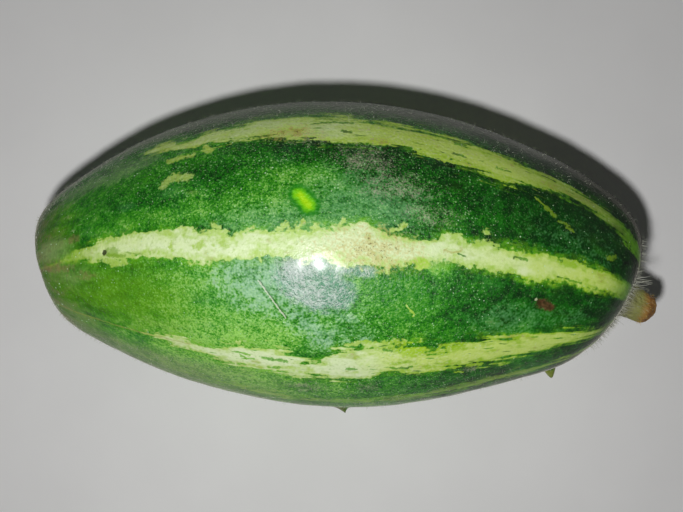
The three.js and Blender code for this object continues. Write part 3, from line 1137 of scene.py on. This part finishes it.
# %% [markdown]
# On the crown the wax bloom is rubbed to a whitish spot, creased in fine arcs around the gloss.
# Its
# white is partly painted highlight: it is whitest next to the gloss, and the crests of the creases
# are painted white as glints. A wave texture would draw whole rings; noise read in the distance
# from the gloss, and a little in the direction, gives broken arcs.

# %% Wax
GLOSS = (0.4835, -2)
wax = strongest([(0.473, -8, 4.6, 3.4, 1), (0.485, -13, 4, 2.6, 1), (0.52, -5.4, 2.6, 1, 0.7)])
wax = (wax + clouds * 0.3 + fringe * 0.3).rise(-0.15, 0.7)
gloss_x, gloss_y = rolled_out(*GLOSS)
from_gloss_x, from_gloss_y = lengthwise - gloss_x, sideways - gloss_y
ring = (from_gloss_x * from_gloss_x + from_gloss_y * from_gloss_y).root()
ring = ring + fringe * 0.2 + curds * 0.25
wrinkle = skin.noise(skin.vector(ring, from_gloss_x / 4, from_gloss_y / 4), 0.2)
ripples = wrinkle + skin.noise(place, 0.16, detail=0) * 0.5
# painted glare: the wax is whitest next to the gloss
painted_glare = strongest([(0.462, -3, 3, 3, 1), (0.466, -14, 4, 1.6, 0.6)]).at_least(0) * 0.9
# the crests of the creases are painted white, as glints
glinting_ripples = (ripples + painted_glare).rise(-0.9, 1.3)
wax_and_glint_color = skin.mix(glinting_ripples, paint(104, 168, 140), paint(240, 246, 246))
color = skin.mix(wax * (1 - pale * 0.7) * 0.7, color, wax_and_glint_color)
shine = patch(0.475, -2, 5, 3.2).at_least(0).at_least(wax)
skin.tell("wax")

# %% [markdown]
# The small wounds are drawn sharp, in layers from the edge inwards: a fresh green nick with a
# bright middle, a dark scar with a pale tip, an insect's pinprick in a yellowish bruise, and a
# scratch with its painted shadow beside it. Last, the thorn and the wart get their own brown.

# %% Nick, scar, pinprick and scratch
nick = stroke(0.4735, 20, 0.4805, 16.4, 2.6, hand=EVEN) + fringe * 0.12
color = color.over(nick.rise(-0.25, 0.15) * 0.9, 24, 134, 2)
color = color.over(nick.rise(0.15, 0.6), 110, 206, 8)
color = color.over(nick.rise(0.45, 0.95), 172, 230, 4)
scar = stroke(0.733, -13.2, 0.746, -15.2, 1.9) + fringe * 0.25
scar_color = skin.mix(grain.rise(-1, 1), paint(66, 42, 20), paint(104, 62, 40))
color = skin.mix(scar.rise(-0.1, 0.6) * 0.9, color, scar_color)
scar_tip = patch(0.7235, -12, 0.24, 0.24)
color = color.over(scar_tip.rise(0, 0.6) * 0.8, 206, 214, 170)
bruise = patch(0.256, 5.6, 1.4, 1.1) + fringe * 0.6
color = color.over(bruise.rise(0, 0.8) * 0.7, 132, 178, 44)
pinprick = patch(0.243, 5.8, 0.4, 0.6) + fringe * 0.2
color = color.over(pinprick.rise(0, 0.6) * 0.9, 40, 44, 14)
# a painted shadow along one side of the scratch
scratch_shadow = stroke(0.423, -8.2, 0.4445, -21.4, 0.26, hand=EVEN)
color = color.over((scratch_shadow + grain * 0.5).rise(0, 0.6) * 0.6, 54, 88, 50)
scratch = stroke(0.4221, -8.6, 0.4436, -21.8, 0.24, hand=EVEN)
color = color.over((scratch + grain * 0.5).rise(0, 0.7) * 0.8, 216, 224, 200)
thorn_and_wart = patch(0.48, -82, 1.6, 1).at_least(patch(0.837, -99, 2, 2)) + fringe * 0.3
color = color.over(thorn_and_wart.rise(0, 0.7) * 0.75, 112, 110, 52)
skin.tell("wounds")

# %% [markdown]
# The surface is a soft satin. A thin Coat gives the wet gloss where the wax is rubbed, and Sheen
# gives the faint light edge that down leaves on a flank. The relief is fine and shallow, and
# smoother on the stripes and towards the stalk.

# %% Cover the fruit
smooth = along.rise(0.56, 0.7) * 0.5 + pale * 0.45
relief = (skin.noise(place, 0.4, detail=1) * 0.6 + curds * 0.5) * (1 - smooth)
relief = relief + ripples * wax * (1 - pale) * 1.4
skin.cover(fruit, {
    "Base Color": color,
    "Roughness": 0.5 - shine * 0.16 + grain * 0.03 + along.rise(0.7, 0.8) * far_side * 0.3,
    "Normal": skin.bump(relief, 0.05 * MM),
    "Specular IOR Level": 0.4,
    "Coat Weight": shine * 0.46,
    "Coat Roughness": 0.21,
    "Sheen Weight": 0.3,
    "Sheen Roughness": 0.22,
    "Sheen Tint": paint(214, 208, 194),
})
skin.tell("whole skin")

# %% [markdown]
# ## The stalk and its hairs
#
# The stub is a greyish olive where it joins the fruit, then yellow green, and orange brown over
# the dried cut, with a dark rim. Its colour follows the height above the skin, which a Mapping
# node measures by turning the plain position into the stub's own frame.

# %% Stalk finish
bark = Finish(bpy.data.materials.new("gourd_stalk"))
stub_frame = stalk_place.inverted()
upright = bark.node("Mapping", {"vector_type": "POINT"}, {
    "Vector": bark.millimetres(),
    "Location": stub_frame.translation / MM,
    "Rotation": stub_frame.to_euler(),
})
threads = bark.noise(bark.node("Mapping", {}, {"Vector": upright, "Scale": (3, 3, 0.7)}), 1)
bark_grain = bark.noise(upright, 0.5)
rise_above_skin = bark.part(upright, "Z") + threads * 0.35 - bark.part(upright, "X") * 0.2
bark_color = bark.mix(rise_above_skin.rise(0.2, 2), paint(140, 140, 106), paint(138, 140, 74))
bark_color = bark_color.over(threads.rise(0.1, 1) * 0.4, 106, 108, 60)
bark_color = bark_color.over(rise_above_skin.rise(1.9, 3.4), 158, 114, 50)
rim_share = (rise_above_skin + bark_grain * 0.3).rise(3, 3.6) * rise_above_skin.fall(3.6, 4.4)
bark_color = bark_color.over(rim_share * 0.7, 108, 70, 30)
bark.cover(stalk, {
    "Base Color": bark_color,
    "Roughness": 0.66 + bark_grain * 0.08,
    "Normal": bark.bump(threads * 0.6 + bark_grain * 0.4, 0.08 * MM),
})
bark.tell("stalk")

# %% [markdown]
# The hairs are a dull white and the fibres straw coloured. Real hairs let light through, but at
# this thickness a plain colour that varies from place to place looks the same and renders faster.

# %% Hair finish
for piece, dark, bright in (
    (stalk_hairs, paint(130, 134, 112), paint(218, 218, 204)),
    (cut_fibres, paint(150, 118, 52), paint(216, 190, 116)),
    (skin_down, paint(150, 160, 130), paint(214, 218, 200)),
):
    fluff = Finish(bpy.data.materials.new(piece.name))
    tint = fluff.noise(fluff.millimetres(), 1.5)
    fluff_color = fluff.mix(tint.rise(-1, 1), dark, bright)
    fluff.cover(piece, {"Base Color": fluff_color, "Roughness": 0.5})
    fluff.tell(piece.name)

# %% [markdown]
# ## Table, light and camera
#
# The gourd lies on a plain pale table, which is only the stage and no part of the object. A plane
# is enough for it, as only its top is seen.

# %% Table
TABLE_SIDE = 3  # metres
GAP = 0.05 * MM  # so that table and belly don't flicker into each other

deselect_all()
bpy.ops.mesh.primitive_plane_add(size=TABLE_SIDE, location=(0, 0, -GAP))
table = bpy.context.object
table.name = "table_top"
bpy.ops.object.transform_apply()
plaster = Finish(bpy.data.materials.new("table_top"))
clouding = plaster.noise(plaster.millimetres(), 25, detail=4)
table_color = plaster.mix(clouding.rise(-1, 1), paint(236, 235, 234), paint(242, 241, 240))
plaster.cover(table, {"Base Color": table_color, "Roughness": 0.6})
plaster.tell("table")

# %% [markdown]
# A pale surround fills the shadows. Lamps could do that too, but each would add a highlight of its
# own. It shines mostly from near the horizon, which lightens the flanks, and the camera sees it
# lighter than it shines.

# %% Surround
LOW_LIGHT = 0.12  # from near the horizon, over
EVEN_LIGHT = 0.025  # from everywhere
SEEN_BACKGROUND = 0.6

world = bpy.data.worlds.new("pale_surround")
bpy.context.scene.world = world
sky = Finish(world)
height_of_ray = sky.part(sky.node("TexCoord", {}, {}, "Generated"), "Z")
surround = height_of_ray.fall(0, 0.6) * LOW_LIGHT + EVEN_LIGHT
seen = sky.node("LightPath", {}, {}, "Is Camera Ray")
strength = surround * (1 - seen) + seen * SEEN_BACKGROUND
background = sky.node("Background", {}, {"Color": (1, 1, 1, 1), "Strength": strength})
sky.node("OutputWorld", {}, {"Surface": background})
sky.tell("surround")

# %% [markdown]
# A small soft lamp beside the lens, slightly to the near side, gives the highlight on the crown
# and a narrow shadow along the far side. A larger one would soften both.

# %% Lamp
LAMP_PLACE = Vector((-8.5, -19, 165)) * MM
LAMP_WATTS = 0.157  # little, as it is small and near

deselect_all()
bpy.ops.object.light_add(type="AREA", location=LAMP_PLACE)
lamp = bpy.context.object
lamp.name = "lamp_by_the_lens"
lamp.data.shape = "DISK"
lamp.data.size = 8 * MM
lamp.data.energy = LAMP_WATTS
lamp.visible_camera = False
print("lamp, mm above the table:", LAMP_PLACE.z / MM)

# %% [markdown]
# The camera looks straight down from 16 cm. It is so near that the ends are foreshortened and the
# flanks hide what lies low.

# %% Camera
CAMERA_PLACE = Vector((0.75, -0.25, 160)) * MM
SENSOR_WIDTH = 36  # mm
FOCAL_LENGTH = 56.1  # mm

deselect_all()
bpy.ops.object.camera_add(location=CAMERA_PLACE, rotation=(0, 0, 0))
camera = bpy.context.object
camera.name = "camera_above"
camera.data.sensor_width = SENSOR_WIDTH
camera.data.lens = FOCAL_LENGTH
camera.data.clip_start = 10 * MM
bpy.context.scene.camera = camera
bpy.context.scene.view_settings.view_transform = "Standard"
print("camera, mm above the table:", CAMERA_PLACE.z / MM)
